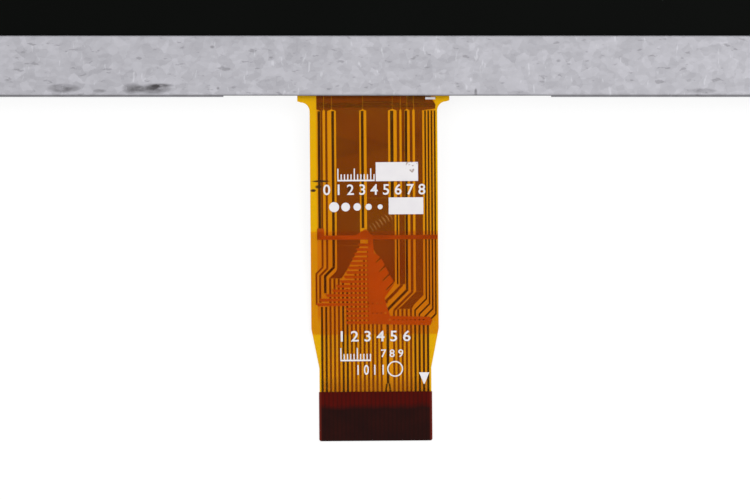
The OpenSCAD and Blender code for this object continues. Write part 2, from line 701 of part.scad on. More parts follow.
module flex_jumpers() {
    right_edge = concat([[11.9, band_t[0]], [11.9, band_t[1]]], [for (p = tree_right) [p[1], p[0]]],
                        [[10.4, 16.7], [10.85, 17.4], [10.5, field_len]]);
    comb = [for (k = [field_lines - 1:-1:0]) each let (top = line_top(k), low = top + line_w, x = line_left(low))
        [[spine_x, low], [x + 0.35, low], [x, top], [spine_x, top]]];
    left_band = [[spine_x, band_t[1]], [-10.8, band_t[1]], [-10.8, -0.2], [-9.5, -0.2], [-9.5, band_t[0]],
                 [-3.6, band_t[0]], [-1.9, 0.1], [-1.5, 0], [-0.45, band_t[0]]];
    color([0.75, 0.3, 0.02]) on_module() in_slope_plane(film_front) difference() {
        linear_extrude(height = copper_t) difference() {
            polygon([for (p = along(concat(right_edge, comb, left_band))) [p[0], slope_start - p[1]]]);
            for (k = [0:feathers - 1]) let (f = feather(k))
                translate([f[0], slope_start - f[1] - field_top]) rotate(45)
                    translate([0, -slot_w / 2]) square([(f[2] + 0.9) * sqrt(2), slot_w]);
        }
        for (row = via_rows, i = [row[1]:row[2]])
            translate([way_x(i), slope_start - row[0] - field_top, -eps])
                cylinder(d = via_d, h = copper_t + 2 * eps, $fn = 16);
    }
}

// The plane of the tail's straight slope: x across, y back along the tail from slope_start
module in_slope_plane(h) {
    translate(on_curve(0, slope_start, h)) rotate([slope, 0, 0]) children();
}

// ---- White print: two blank blocks, the pin-one triangle and a root mark ----
blocks = [[0.35, 8.35, -12.7, -9.1], [2.75, 9.3, -6, -2.8]];
root_mark = [9.8, 11.7, 0.1, 0.55];
pin_one_s = stiffener_s - 1.4;
pin_one_h = 2.2;
module flex_legend() {
    h0 = film_front;
    h1 = film_front + ink_t;
    color("white") on_module() {
        for (b = blocks) band(b[0], b[1], b[2] + field_top, b[3] + field_top, h0, h1);
        band(root_mark[0], root_mark[1], root_mark[2], root_mark[3], h0, h1);
        panel([[way_x(23) - 0.15, way_x(25) + 0.2, pin_one_s - pin_one_h],
               [way_x(24) - 0.05, way_x(24) + 0.1, pin_one_s]], h0, h1);
    }
}

front_bezel();
bezel_cushion();
front_polarizer();
colour_filter_glass();
tft_glass();
rear_polarizer();
source_driver_chips();
gate_driver_chip();
mould_frame();
rim_tape();
upper_diffuser();
upper_prism_sheet();
lower_prism_sheet();
lower_diffuser();
light_guide();
reflector_sheet();
led_board();
leds();
rear_cover();
flex_bond_tape();
flex_base_film();
flex_signal_traces();
flex_power_traces();
flex_jumpers();
flex_front_coverlay();
flex_rear_coverlay();
flex_stiffener();
flex_legend();
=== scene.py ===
"""Looks of a seven-inch class TFT display module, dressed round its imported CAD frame.

The module lies on its back on a pale floor, with its flexible tail towards the viewer.
+X is right, +Y points away from the tail and +Z comes out of the screen. Lengths are in metres
unless a docstring says millimetres, and the places of the nodes come from the frame.
"""

from __future__ import annotations

import logging
import math
from abc import ABC, abstractmethod
from dataclasses import dataclass, field
from enum import Enum
from typing import Callable, Sequence

import bpy
import numpy as np
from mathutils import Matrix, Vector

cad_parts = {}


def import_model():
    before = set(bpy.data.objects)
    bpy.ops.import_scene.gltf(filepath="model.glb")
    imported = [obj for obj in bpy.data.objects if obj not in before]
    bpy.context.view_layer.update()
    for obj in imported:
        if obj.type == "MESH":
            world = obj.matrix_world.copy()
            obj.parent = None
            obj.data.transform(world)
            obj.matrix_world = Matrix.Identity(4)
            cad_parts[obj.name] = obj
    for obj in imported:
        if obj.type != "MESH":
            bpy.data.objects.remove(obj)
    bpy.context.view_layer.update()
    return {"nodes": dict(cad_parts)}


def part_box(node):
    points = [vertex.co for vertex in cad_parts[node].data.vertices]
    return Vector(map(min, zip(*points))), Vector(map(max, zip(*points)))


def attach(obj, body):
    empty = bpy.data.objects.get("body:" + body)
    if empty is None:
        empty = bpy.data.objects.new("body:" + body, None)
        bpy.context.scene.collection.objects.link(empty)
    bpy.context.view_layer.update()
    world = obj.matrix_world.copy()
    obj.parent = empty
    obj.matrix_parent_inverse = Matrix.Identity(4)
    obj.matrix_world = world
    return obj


LOG = logging.getLogger("display_module")
MM = 0.001
BODY = "root"

Socket = bpy.types.NodeSocket
Material = bpy.types.Material
Piece = bpy.types.Object
Colour = tuple[float, float, float]
Point = tuple[float, float]
Stretch = tuple[float, float, float]
Opening = tuple[float, float, float, float]  # left, right, lower and upper edge
Outline = tuple[np.ndarray, list[list[int]]]  # rows [across, along], and the faces

EVEN: Stretch = (1.0, 1.0, 1.0)
WHITE: Colour = (1.0, 1.0, 1.0)


# ---- Shader maths ----


class Wire:
    """A number-valued socket of a shader tree that can be used in Python expressions."""

    def __init__(self, tree: bpy.types.NodeTree, socket: Socket) -> None:
        """Wraps a socket.

        Args:
            tree: The node tree that the socket belongs to.
            socket: The output socket that carries the value.
        """
        self.tree = tree
        self.socket = socket

    def maths(self, operation: str, *others: Wire | float) -> Wire:
        """Adds one Math node.

        Args:
            operation: The node's operation, such as MULTIPLY.
            others: The second and third operand, where the operation has them.

        Returns:
            The node's result.
        """
        node = self.tree.nodes.new("ShaderNodeMath")
        node.operation = operation
        for socket, value in zip(node.inputs, (self, *others)):
            if isinstance(value, Wire):
                self.tree.links.new(value.socket, socket)
            else:
                socket.default_value = value
        return Wire(self.tree, node.outputs[0])

    def __add__(self, other: Wire | float) -> Wire:
        """Sum."""
        return self.maths("ADD", other)

    def __radd__(self, other: float) -> Wire:
        """Sum with a number on the left."""
        return self.maths("ADD", other)

    def __sub__(self, other: Wire | float) -> Wire:
        """Difference."""
        return self.maths("SUBTRACT", other)

    def __rsub__(self, other: float) -> Wire:
        """A number less this value."""
        return (self * -1.0) + other

    def __mul__(self, other: Wire | float) -> Wire:
        """Product."""
        return self.maths("MULTIPLY", other)

    def __rmul__(self, other: float) -> Wire:
        """Product with a number on the left."""
        return self.maths("MULTIPLY", other)

    def clamp(self) -> Wire:
        """The value held between 0 and 1."""
        return self.maths("MAXIMUM", 0.0).maths("MINIMUM", 1.0)

    def over(self, edge: float, soft: float) -> Wire:
        """A soft step.

        Args:
            edge: The value at which the step is half way.
            soft: The width of the step.

        Returns:
            0 well below the edge and 1 well above it.
        """
        return ((self - (edge - soft / 2)) * (1.0 / soft)).clamp()

    def about(self, middle: float, swing: float) -> Wire:
        """A noise value moved from its own middle, 0.5.

        Args:
            middle: The new middle.
            swing: Factor on the distance from the middle.

        Returns:
            The moved value.
        """
        return (self - 0.5) * swing + middle


@dataclass(frozen=True)
class Stain:
    """A second colour of a surface.

    Attributes:
        colour: The colour.
        share: Its share where it is strongest.
    """

    colour: Colour
    share: float


class ShaderTree:
    """A material's node tree with short calls for the nodes that this object needs."""

    def __init__(self, name: str) -> None:
        """Starts an empty material.

        Args:
            name: The material's name.
        """
        self.material = bpy.data.materials.new(name)
        self.material.use_nodes = True
        self.tree = self.material.node_tree
        self.tree.nodes.clear()
        self.place = self.node("ShaderNodeTexCoord").outputs["Object"]

    def node(
        self,
        kind: str,
        settings: dict[str, object] | None = None,
        inputs: dict[str | int, object] | None = None,
    ) -> bpy.types.Node:
        """Adds a node.

        Args:
            kind: The node's type.
            settings: Attributes that are set before the sockets.
            inputs: A value, a socket or a Wire for each named or numbered input.

        Returns:
            The new node.
        """
        node = self.tree.nodes.new(kind)
        for key, value in (settings or {}).items():
            setattr(node, key, value)
        for key, value in (inputs or {}).items():
            self.feed(node.inputs[key], value)
        return node

    def feed(self, socket: Socket, value: object) -> None:
        """Links or sets one input.

        Args:
            socket: The input.
            value: A Wire, a socket, a colour or a number.
        """
        if isinstance(value, Wire):
            self.tree.links.new(value.socket, socket)
        elif isinstance(value, Socket):
            self.tree.links.new(value, socket)
        elif isinstance(value, tuple) and len(value) == 3 and len(socket.default_value) == 4:
            socket.default_value = (*value, 1.0)
        else:
            socket.default_value = value

    def wire(self, socket: Socket) -> Wire:
        """Wraps an output for use in expressions."""
        return Wire(self.tree, socket)

    def axis(self, name: str) -> Wire:
        """One of the Object coordinates x, y or z, in metres."""
        split = self.node("ShaderNodeSeparateXYZ", inputs={0: self.place})
        return self.wire(split.outputs[name.upper()])

    def scaled_place(
        self, size: float, stretch: Stretch, turn_deg: float = 0.0
    ) -> Socket:
        """Object coordinates, turned about Z and scaled on each axis.

        Args:
            size: Length that becomes 1 where the stretch is 1.
            stretch: Factor on each axis.
            turn_deg: Turn about Z, in degrees.

        Returns:
            The vector output.
        """
        mapping = self.node("ShaderNodeMapping", inputs={
            "Vector": self.place,
            "Rotation": (0.0, 0.0, math.radians(turn_deg)),
            "Scale": tuple(share / size for share in stretch),
        })
        return mapping.outputs[0]

    def noise(self, size: float, detail: float = 3.0, stretch: Stretch = EVEN) -> Wire:
        """Cloudy noise.

        Args:
            size: Size of one cloud, in metres.
            detail: Number of finer layers.
            stretch: Factor on each axis.

        Returns:
            Values round 0.5.
        """
        vector = self.scaled_place(size, stretch)
        sockets = {"Vector": vector, "Scale": 1.0, "Detail": detail}
        return self.wire(self.node("ShaderNodeTexNoise", inputs=sockets).outputs["Fac"])

    def mix(self, factor: Wire | float, low: object, high: object) -> Socket:
        """A colour between two colours.

        Args:
            factor: 0 gives low and 1 gives high.
            low: Colour or colour socket.
            high: Colour or colour socket.

        Returns:
            The mixed colour.
        """
        node = self.node("ShaderNodeMix", {"data_type": "RGBA"})
        for index, value in ((0, factor), (6, low), (7, high)):
            self.feed(node.inputs[index], value)
        return node.outputs[2]

    def stained(self, colour: object, mask: Wire, stain: Stain) -> Socket:
        """A colour with a stain on it where the mask is 1."""
        return self.mix(mask * stain.share, colour, stain.colour)

    def bump(self, height: Wire, depth: float) -> Socket:
        """A normal from a height between 0 and 1.

        Args:
            height: The height field.
            depth: Depth of a height of 1, in metres.

        Returns:
            The normal.
        """
        sockets = {"Height": height, "Distance": depth, "Strength": 1.0}
        return self.node("ShaderNodeBump", inputs=sockets).outputs[0]

    def principled(self, **sockets: object) -> Socket:
        """A Principled shader; a socket's name is written with underscores for spaces."""
        named = {key.replace("_", " "): value for key, value in sockets.items()}
        return self.node("ShaderNodeBsdfPrincipled", inputs=named).outputs[0]

    def see_through(self, tint: Colour) -> Socket:
        """A clear shader that only tints what lies behind it."""
        return self.node("ShaderNodeBsdfTransparent", inputs={"Color": tint}).outputs[0]

    def shine(self, **sockets: object) -> Socket:
        """A gloss shader."""
        return self.node("ShaderNodeBsdfGlossy", inputs=sockets).outputs[0]

    def blend(self, factor: Wire | float, low: object, high: object) -> Socket:
        """A shader between two shaders."""
        return self.node("ShaderNodeMixShader", inputs={0: factor, 1: low, 2: high}).outputs[0]

    def finish(self, surface: Socket) -> Material:
        """Connects the surface and returns the material."""
        self.node("ShaderNodeOutputMaterial", inputs={"Surface": surface})
        return self.material


def srgb(red: int, green: int, blue: int) -> Colour:
    """Linear colour from display values between 0 and 255.

    Args:
        red: Red value.
        green: Green value.
        blue: Blue value.

    Returns:
        The colour that shader sockets take.
    """
    def linear(value: int) -> float:
        """Linear level of one channel."""
        share = value / 255
        return share / 12.92 if share <= 0.04045 else ((share + 0.055) / 1.055) ** 2.4

    return (linear(red), linear(green), linear(blue))


def scaled(colour: Colour, factor: float) -> Colour:
    """A colour made darker or lighter, with no channel over 1."""
    return tuple(min(1.0, channel * factor) for channel in colour)


def vertices(mesh: bpy.types.Mesh) -> np.ndarray:
    """The points of a mesh, one row [x, y, z] each.

    Args:
        mesh: The mesh.

    Returns:
        The rows.
    """
    points = np.empty(len(mesh.vertices) * 3, np.float32)
    mesh.vertices.foreach_get("co", points)
    return points.reshape(-1, 3).astype(float)


# ---- Where things are ----


@dataclass(frozen=True)
class TailPath:
    """The front face of the flexible tail, read from the film's own mesh.

    Attributes:
        root: Point [x, y] where the middle of the tail leaves the bezel.
        skew_deg: Angle at which the tail is bonded.
        far: Stations along the film, rising: 0 at the bezel's edge, less towards the plug-in end.
        height: Height of the film's front face at each of them.
    """

    root: Point
    skew_deg: float
    far: np.ndarray
    height: np.ndarray

    @classmethod
    def from_film(cls, film: Piece, root: Point, skew_deg: float) -> TailPath:
        """Reads the film: the highest point at each station along it.

        Stations whose highest and lowest point are the same hold points of one face only, and
        are left out.

        Args:
            film: The base film's object.
            root: Point [x, y] where the middle of the tail leaves the bezel.
            skew_deg: Angle at which the tail is bonded.

        Returns:
            The path.
        """
        station = 0.05 * MM
        least_thickness = 0.01 * MM
        points = vertices(film.data)
        straight = cls.unturned(points, root, skew_deg)
        keys = np.round(straight / station).astype(int)
        groups = [keys == key for key in np.unique(keys)]
        far = np.array([straight[group].mean() for group in groups])
        height = np.array([points[group, 2].max() for group in groups])
        lowest = np.array([points[group, 2].min() for group in groups])
        both_faces = height - lowest > least_thickness
        return cls(root, skew_deg, far[both_faces], height[both_faces])

    @staticmethod
    def unturned(points: np.ndarray, root: Point, skew_deg: float) -> np.ndarray:
        """Distance of each point from the bezel's edge, with the skew taken out.

        Args:
            points: Rows [x, y, z].
            root: Point [x, y] where the middle of the tail leaves the bezel.
            skew_deg: Angle at which the tail is bonded.

        Returns:
            One distance for each point, negative towards the plug-in end.
        """
        turn = math.radians(skew_deg)
        return (points[:, 1] - root[1]) * math.cos(turn) - (points[:, 0] - root[0]) * math.sin(turn)

    def lift_of(self, piece: Piece) -> float:
        """How far the highest face of a piece that lies on the film stands over it.

        Args:
            piece: The piece.

        Returns:
            The largest height of its points over the film's front face.
        """
        points = vertices(piece.data)
        straight = self.unturned(points, self.root, self.skew_deg)
        return float((points[:, 2] - np.interp(straight, self.far, self.height)).max())

    def place(self, across: np.ndarray, along: np.ndarray, lift: float) -> np.ndarray:
        """Puts points of the tail in the frame.

        The sideways place is turned by the skew about the root, and the height is the film's
        front face at that distance plus a lift.

        Args:
            across: Distance to the right of the tail's middle.
            along: Distance from the bezel's edge, seen from the front.
            lift: Height over the film.

        Returns:
            One row [x, y, z] for each point.
        """
        turn = math.radians(self.skew_deg)
        x = self.root[0] + across * math.cos(turn) + along * math.sin(turn)
        y = self.root[1] + across * math.sin(turn) - along * math.cos(turn)
        z = np.interp(-along, self.far, self.height) + lift
        return np.column_stack([x, y, z])

    def coordinates(self, tree: ShaderTree) -> tuple[Wire, Wire]:
        """Distances on the tail inside a material, the reverse of place.

        Args:
            tree: The material's tree.

        Returns:
            Distance to the right of the tail's middle, and distance from the bezel's edge.
        """
        turn = math.radians(self.skew_deg)
        x = tree.axis("x") - self.root[0]
        y = tree.axis("y") - self.root[1]
        across = x * math.cos(turn) + y * math.sin(turn)
        along = y * -math.cos(turn) + x * math.sin(turn)
        return across, along


def new_piece(
    name: str,
    points: np.ndarray,
    faces: Sequence[Sequence[int]],
    material: Material,
) -> Piece:
    """Makes a piece of the object from points and faces, and lets it ride on the module.

    Args:
        name: The piece's name.
        points: One row [x, y, z] for each vertex.
        faces: Vertex numbers of each face.
        material: Its material.

    Returns:
        The new object.
    """
    mesh = bpy.data.meshes.new(name)
    mesh.from_pydata(points.tolist(), [], faces)
    mesh.update()
    piece = bpy.data.objects.new(name, mesh)
    bpy.context.scene.collection.objects.link(piece)
    mesh.materials.append(material)
    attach(piece, BODY)
    return piece


def dress(node: Piece, material: Material) -> None:
    """Gives a CAD node its finish.

    Args:
        node: The node's object.
        material: The finish.
    """
    node.data.materials.clear()
    node.data.materials.append(material)
    LOG.info("%s: %s", node.name, material.name)


# ---- Finishes ----


@dataclass(frozen=True)
class Finish(ABC):
    """A finish: a material made from the shader that its surface method gives.

    Attributes:
        name: The material's name.
    """

    name: str

    def build(self) -> Material:
        """Makes the material."""
        tree = ShaderTree(self.name)
        return tree.finish(self.surface(tree))

    @abstractmethod
    def surface(self, tree: ShaderTree) -> Socket:
        """The finish's shader in a new material's tree."""


@dataclass(frozen=True)
class Patches:
    """Noise cut into soft patches.

    Attributes:
        size: Size of one patch.
        edge: Level of the noise at which a patch is half there; the noise lies round 0.5.
        soft: Width of its soft edge.
        detail: Number of finer layers.
        stretch: Factor on each axis.
    """

    size: float
    edge: float
    soft: float
    detail: float = 3.0
    stretch: Stretch = EVEN

    def mask(self, tree: ShaderTree) -> Wire:
        """1 on the patches and 0 between them."""
        return tree.noise(self.size, self.detail, self.stretch).over(self.edge, self.soft)


@dataclass(frozen=True)
class Scuff:
    """A dark rub mark, with its sizes in millimetres.

    Attributes:
        x: Sideways place of its middle.
        y: Lengthways place of its middle.
        half_length: Half of its reach sideways.
        half_height: Half of its reach lengthways.
        strength: Darkness at the middle, up to 1.
    """

    x: float
    y: float
    half_length: float
    half_height: float
    strength: float


def rub_mask(tree: ShaderTree, scuffs: Sequence[Scuff], x: Wire, y: Wire) -> Wire:
    """How much of a rub mark lies at a point.

    Each mark is 1 at its middle and falls with the squared distance, broken up by noise.

    Args:
        tree: The material's tree.
        scuffs: The rub marks.
        x: Sideways place.
        y: Lengthways place.

    Returns:
        A mask between 0 and 1.
    """
    streaks = Patches(0.9 * MM, 0.46, 0.3, 4.0, (0.45, 1.0, 1.0)).mask(tree)
    least = 0.35  # share of a mark that stays between the streaks
    mask: Wire | float = 0.0
    for scuff in scuffs:
        across = (x - scuff.x * MM) * (1.0 / (scuff.half_length * MM))
        up = (y - scuff.y * MM) * (1.0 / (scuff.half_height * MM))
        near = (1.0 - (across * across + up * up)).clamp() * scuff.strength
        mask = near + mask
    return (mask * (streaks * (1.0 - least) + least)).clamp()


@dataclass(frozen=True)
class SpangledZinc(Finish):
    """Zinc-coated sheet with fine spangle, rolling marks and a few rubbed patches.

    Attributes:
        tone: Mean colour.
        grain: Size of one spangle.
        contrast: Difference between light and dark spangles.
        lightest: Factor on the tone for the lightest spangle.
        darkest: Factor on the tone for the darkest one.
        clouds: Size of the broad clouds.
        flecks: Where the small dark rolling marks lie.
        fleck: Their colour.
        glints: Where the small upright glints lie.
        glint: Their colour.
        rub: Colour of the rub marks.
        bend: Colour of the painted shade on the bend at the sheet's edges.
        cut: Colour of the painted highlight on the cut edge round the window.
        scuffs: Rub marks.
        bend_shade_from: Height at which the sheet turns down into its bend with painted shade, or 0
            for none.
        window: Opening along whose cut edge a highlight is painted, or None.
    """

    tone: Colour = srgb(160, 159, 165)
    grain: float = 1.7 * MM
    contrast: float = 0.26
    lightest: float = 1.34
    darkest: float = 0.66
    clouds: float = 14 * MM
    flecks: Patches = Patches(1.5 * MM, 0.655, 0.05, stretch=(0.55, 1.3, 1.0))
    fleck: Stain = Stain(srgb(96, 94, 98), 0.42)
    glints: Patches = Patches(1.3 * MM, 0.7, 0.06, 2.0, (1.6, 0.5, 1.0))
    glint: Stain = Stain(srgb(206, 206, 212), 0.3)
    rub: Colour = srgb(54, 51, 54)
    # painted shade on the bend at the sheet's edges
    bend: Stain = Stain(srgb(60, 59, 60), 0.6)
    # painted highlight on the window's cut edge
    cut: Stain = Stain(srgb(222, 221, 230), 0.4)
    scuffs: tuple[Scuff, ...] = ()
    bend_shade_from: float = 0.0
    window: Opening | None = None

    def surface(self, tree: ShaderTree) -> Socket:
        """Mixes two sizes of crystals with noise; lays the marks, painted bend shade and edge
        highlight over them.

        Args:
            tree: The material's tree.

        Returns:
            The shader.
        """
        large = self.spangle(tree, self.grain, EVEN, 20.0)
        small = self.spangle(tree, self.grain / 2, (0.8, 1.2, 1.0), -35.0)
        clouds = tree.noise(self.clouds, 2.0)
        soft = tree.noise(self.grain * 1.3, 4.0, (0.8, 1.2, 1.0))
        # The three weights add up to 1.5, and taking half of that away leaves a level round 0.
        level = large * 0.5 + small * 0.3 + soft * 0.7 - 0.75
        level = level * self.contrast * 2.0 + (clouds - 0.5) * 0.1
        dark, light = scaled(self.tone, self.darkest), scaled(self.tone, self.lightest)
        colour = tree.mix((level + 0.5).clamp(), dark, light)
        colour = tree.stained(colour, self.flecks.mask(tree), self.fleck)
        colour = tree.stained(colour, self.glints.mask(tree), self.glint)
        if self.scuffs:
            rubbed = rub_mask(tree, self.scuffs, tree.axis("x"), tree.axis("y"))
            colour = tree.mix(rubbed, colour, self.rub)
        # Painted shade: the bend at the sheet's edges is darkened where light falls off.
        if self.bend_shade_from:
            colour = tree.stained(colour, self.bent(tree), self.bend)
        # Painted highlight along the window's cut edge, where the bezel catches the light.
        if self.window:
            colour = tree.stained(colour, self.edge_highlight(tree), self.cut)
        return tree.principled(
            Base_Color=colour, Metallic=0.35, Roughness=0.46,
            Normal=tree.bump(large * 0.6 + small * 0.4, 0.004 * MM),
        )

    def bent(self, tree: ShaderTree) -> Wire:
        """1 on the bend, a band of heights under the front face, where shade is painted."""
        z = tree.axis("z")
        return z.over(self.bend_shade_from - 0.6 * MM, 0.2 * MM) - z.over(self.bend_shade_from, 0.1 * MM)

    def edge_highlight(self, tree: ShaderTree) -> Wire:
        """1 on the narrow rim of the window, where the distance from the opening is small: the
        painted highlight.

        Args:
            tree: The material's tree.

        Returns:
            A mask between 0 and 1.
        """
        left, right, low, high = self.window
        x, y = tree.axis("x"), tree.axis("y")
        sideways = (left - x).maths("MAXIMUM", x - right)
        outside = sideways.maths("MAXIMUM", (low - y).maths("MAXIMUM", y - high))
        return 1.0 - outside.over(0.32 * MM, 0.2 * MM)

    def spangle(self, tree: ShaderTree, size: float, stretch: Stretch, turn_deg: float) -> Wire:
        """One random level for each crystal of the zinc.

        The crystals are Voronoi cells of a place that noise has pushed about.

        Args:
            tree: The material's tree.
            size: Size of one crystal.
            stretch: Factor on each axis.
            turn_deg: Turn of the pattern.

        Returns:
            A level between 0 and 1, constant over a crystal.
        """
        push = (0.55, 0.55, 0.0)
        vector = tree.scaled_place(size, stretch, turn_deg)
        sockets = {"Vector": vector, "Scale": 1.6, "Detail": 2.0}
        wobble = tree.node("ShaderNodeTexNoise", inputs=sockets)
        shifted = tree.node("ShaderNodeVectorMath", {"operation": "MULTIPLY_ADD"},
                            {0: wobble.outputs["Color"], 1: push, 2: vector})
        cells = tree.node("ShaderNodeTexVoronoi", {"voronoi_dimensions": "2D"},
                          {"Vector": shifted.outputs[0], "Scale": 1.0})
        split = tree.node("ShaderNodeSeparateColor", inputs={0: cells.outputs["Color"]})
        return tree.wire(split.outputs[0])


@dataclass(frozen=True)
class Plain(Finish):
    """A satin or gloss finish with a faint mottle and grain.

    Attributes:
        tone: Colour.
        rough: Roughness.
        metal: Metallic share.
        mottle: Strength of the cloudy change of colour.
        grain: Size of the surface grain; the clouds are twelve times as large.
        grain_depth: Depth of the grain.
    """

    tone: Colour
    rough: float = 0.5
    metal: float = 0.0
    mottle: float = 0.12
    grain: float = 0.4 * MM
    grain_depth: float = 0.004 * MM

    def surface(self, tree: ShaderTree) -> Socket:
        """Mixes a darker and a lighter tone by the clouds, over a grained gloss.

        Args:
            tree: The material's tree.

        Returns:
            The shader.
        """
        clouds = tree.noise(self.grain * 12, 3.0)
        fine = tree.noise(self.grain, 2.0)
        low, high = scaled(self.tone, 1 - self.mottle), scaled(self.tone, 1 + self.mottle)
        return tree.principled(
            Base_Color=tree.mix(clouds.over(0.5, 0.5), low, high),
            Roughness=fine.about(self.rough, 0.16),
            Metallic=self.metal,
            Normal=tree.bump(fine, self.grain_depth),
        )


@dataclass(frozen=True)
class ScreenFace(Finish):
    """Anti-glare face of the switched-off screen: almost black and matt, with a trace of dust.

    Attributes:
        tone: Colour of the dark screen.
        clouds: Where it is a little lighter.
        specks: Where specks of dust lie.
        dust: Their colour.
    """

    tone: Colour = srgb(3, 4, 3)
    clouds: Patches = Patches(22 * MM, 0.5, 0.6)
    specks: Patches = Patches(0.8 * MM, 0.82, 0.03, 1.0)
    dust: Stain = Stain(srgb(40, 42, 42), 0.25)

    def surface(self, tree: ShaderTree) -> Socket:
        """Mixes two almost black tones by the clouds, and lays the dust over them.

        Args:
            tree: The material's tree.

        Returns:
            The shader.
        """
        fine = tree.noise(0.25 * MM, 2.0)
        colour = tree.mix(self.clouds.mask(tree), self.tone, scaled(self.tone, 1.35))
        return tree.principled(
            Base_Color=tree.stained(colour, self.specks.mask(tree), self.dust),
            Roughness=fine.about(0.42, 0.1), Specular_IOR_Level=0.035,
            Normal=tree.bump(fine, 0.002 * MM),
        )


@dataclass(frozen=True)
class Creases:
    """A short row of pale crease strokes in a film.

    Attributes:
        across: Sideways place of the row's middle on the tail.
        along: Its distance from the bezel's edge.
        angle_deg: Angle of the row, rising to the right.
        length: Length of the row.
        stroke: Length of one stroke.
        pitch: Distance between strokes.
        stroke_stain: Colour and strength of the strokes.
    """

    across: float = 1.3 * MM
    along: float = 23.6 * MM
    angle_deg: float = 33.0
    length: float = 4.6 * MM
    stroke: float = 1.3 * MM
    pitch: float = 0.72 * MM
    stroke_stain: Stain = Stain(srgb(196, 132, 66), 0.27)

    def mask(self, tree: ShaderTree, path: TailPath) -> Wire:
        """The strokes: a cosine along the row, bent a little, kept inside a soft rectangle.

        Args:
            tree: The material's tree.
            path: Path of the tail.

        Returns:
            A mask between 0 and the strength of the strokes.
        """
        across, along = path.coordinates(tree)
        turn = math.radians(self.angle_deg)
        right, down = across - self.across, along - self.along
        on_row = right * math.cos(turn) - down * math.sin(turn)
        off_row = right * math.sin(turn) + down * math.cos(turn)
        bent = on_row + off_row * off_row * (0.2 / MM)
        waves = (bent * (math.tau / self.pitch)).maths("COSINE").over(0.5, 0.5)
        ends = 1.0 - on_row.maths("ABSOLUTE").over(self.length / 2, 0.8 * MM)
        sides = 1.0 - off_row.maths("ABSOLUTE").over(self.stroke / 2, 0.5 * MM)
        return waves * ends * sides * self.stroke_stain.share


@dataclass(frozen=True)
class CopperShade:
    """Where the copper pattern lies on the tail, so that the copper's shade is painted on the film
    between its lines.

    Attributes:
        path: Path of the tail.
        wide: Sideways reach [left, right] of the pattern in the neck.
        narrow: Sideways reach of the pattern towards the plug-in end.
        step: Distance from the bezel's edge at which the reach changes.
        gap_shade: Colour of the film between the lines, with the copper's shade painted in.
        gap_shade_end: The same, next to the stiffener.
        end_from: Distance from the bezel's edge at which gap_shade_end begins.
    """

    path: TailPath
    wide: Point = (-10.8 * MM, 11.6 * MM)
    narrow: Point = (-10.25 * MM, 10.25 * MM)
    step: float = 42 * MM
    # painted shade of the copper on the film between its lines
    gap_shade: Colour = srgb(216, 142, 40)
    gap_shade_end: Colour = srgb(186, 106, 44)
    end_from: float = 53.6 * MM

    def past(self, tree: ShaderTree, distance: float) -> Wire:
        """0 nearer to the bezel than a distance and 1 beyond it."""
        return self.path.coordinates(tree)[1].over(distance, 2 * MM)

    def mask(self, tree: ShaderTree) -> Wire:
        """1 inside the pattern and 0 on the bare margins.

        Args:
            tree: The material's tree.

        Returns:
            The mask.
        """
        across = self.path.coordinates(tree)[0]
        soft = 0.25 * MM
        far = self.past(tree, self.step)
        wide, narrow = (
            across.over(left, soft) - across.over(right, soft)
            for left, right in (self.wide, self.narrow)
        )
        return (wide * (1.0 - far) + narrow * far).clamp()

    def tint(self, tree: ShaderTree, bare: object) -> Socket:
        """The film's colour, from the bare margins' to one with painted shade inside the pattern.
        """
        between = tree.mix(self.past(tree, self.end_from), self.gap_shade, self.gap_shade_end)
        return tree.mix(self.mask(tree), bare, between)


@dataclass(frozen=True)
class Film(Finish):
    """Amber film: a tinted clear body mixed with a diffuse share, under a soft gloss.

    Attributes:
        tint: Colour that one face of the film lets through.
        body: Colour of the diffuse share.
        solid: Share of the body against the clear part.
        gloss: Share of the gloss.
        copper: Where the copper's shade is painted on the film, or None.
        rough: Roughness of the gloss.
    """

    tint: Colour
    body: Colour
    solid: float
    gloss: float
    copper: CopperShade | None = None
    rough: float = 0.3

    def surface(self, tree: ShaderTree) -> Socket:
        """Blends the clear part with the body, lays the marks on it and adds the gloss.

        Args:
            tree: The material's tree.

        Returns:
            The shader.
        """
        clouds = tree.noise(7 * MM, 2.0)
        weave = tree.noise(0.6 * MM, 2.0)
        normal = tree.bump(clouds * 0.8 + weave * 0.2, 0.03 * MM)
        clear = tree.see_through(self.tint)
        colour = tree.mix(clouds.over(0.5, 0.7), self.body, scaled(self.body, 0.94))
        # Painted shade of the copper on the film between its lines.
        if self.copper:
            colour = self.copper.tint(tree, colour)
        solid = tree.principled(Base_Color=colour, Roughness=0.45, Specular_IOR_Level=0.15,
                                Normal=normal)
        film = self.marked(tree, tree.blend(clouds.about(self.solid, 0.06), clear, solid))
        shine = tree.shine(Roughness=self.rough, Normal=normal)
        return tree.blend(self.gloss, film, shine)

    def marked(self, tree: ShaderTree, film: Socket) -> Socket:
        """The film with its marks; this one has none."""
        return film


